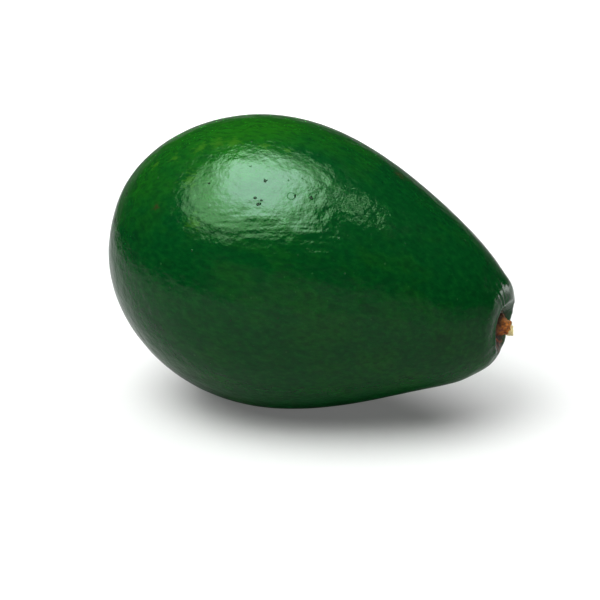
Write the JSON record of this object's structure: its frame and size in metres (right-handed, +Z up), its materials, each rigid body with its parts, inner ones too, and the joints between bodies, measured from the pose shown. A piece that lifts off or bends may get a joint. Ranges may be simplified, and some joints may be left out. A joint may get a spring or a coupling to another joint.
{
  "type": "avocado",
  "caption": "Whole smooth green avocado lying on its side, pear-shaped, with a broken stem stub in the puckered pit of its stem end.",
  "frame": {"origin": "on the table under the middle of the fruit's bounding box", "axes": "+X along the fruit's length towards the stem end, +Z up from the table, +Y completes a right-handed frame"},
  "size_m": [0.149, 0.1058, 0.1046],
  "materials": {
    "skin": "waxy, glossy dark green fruit skin with fine pebbling and small corky specks",
    "stem": "dry, rough brown bark with a torn straw-coloured end"
  },
  "bodies": {
    "root": {"fruit": "skin", "stem_stub": "stem"}
  },
  "joints": []
}
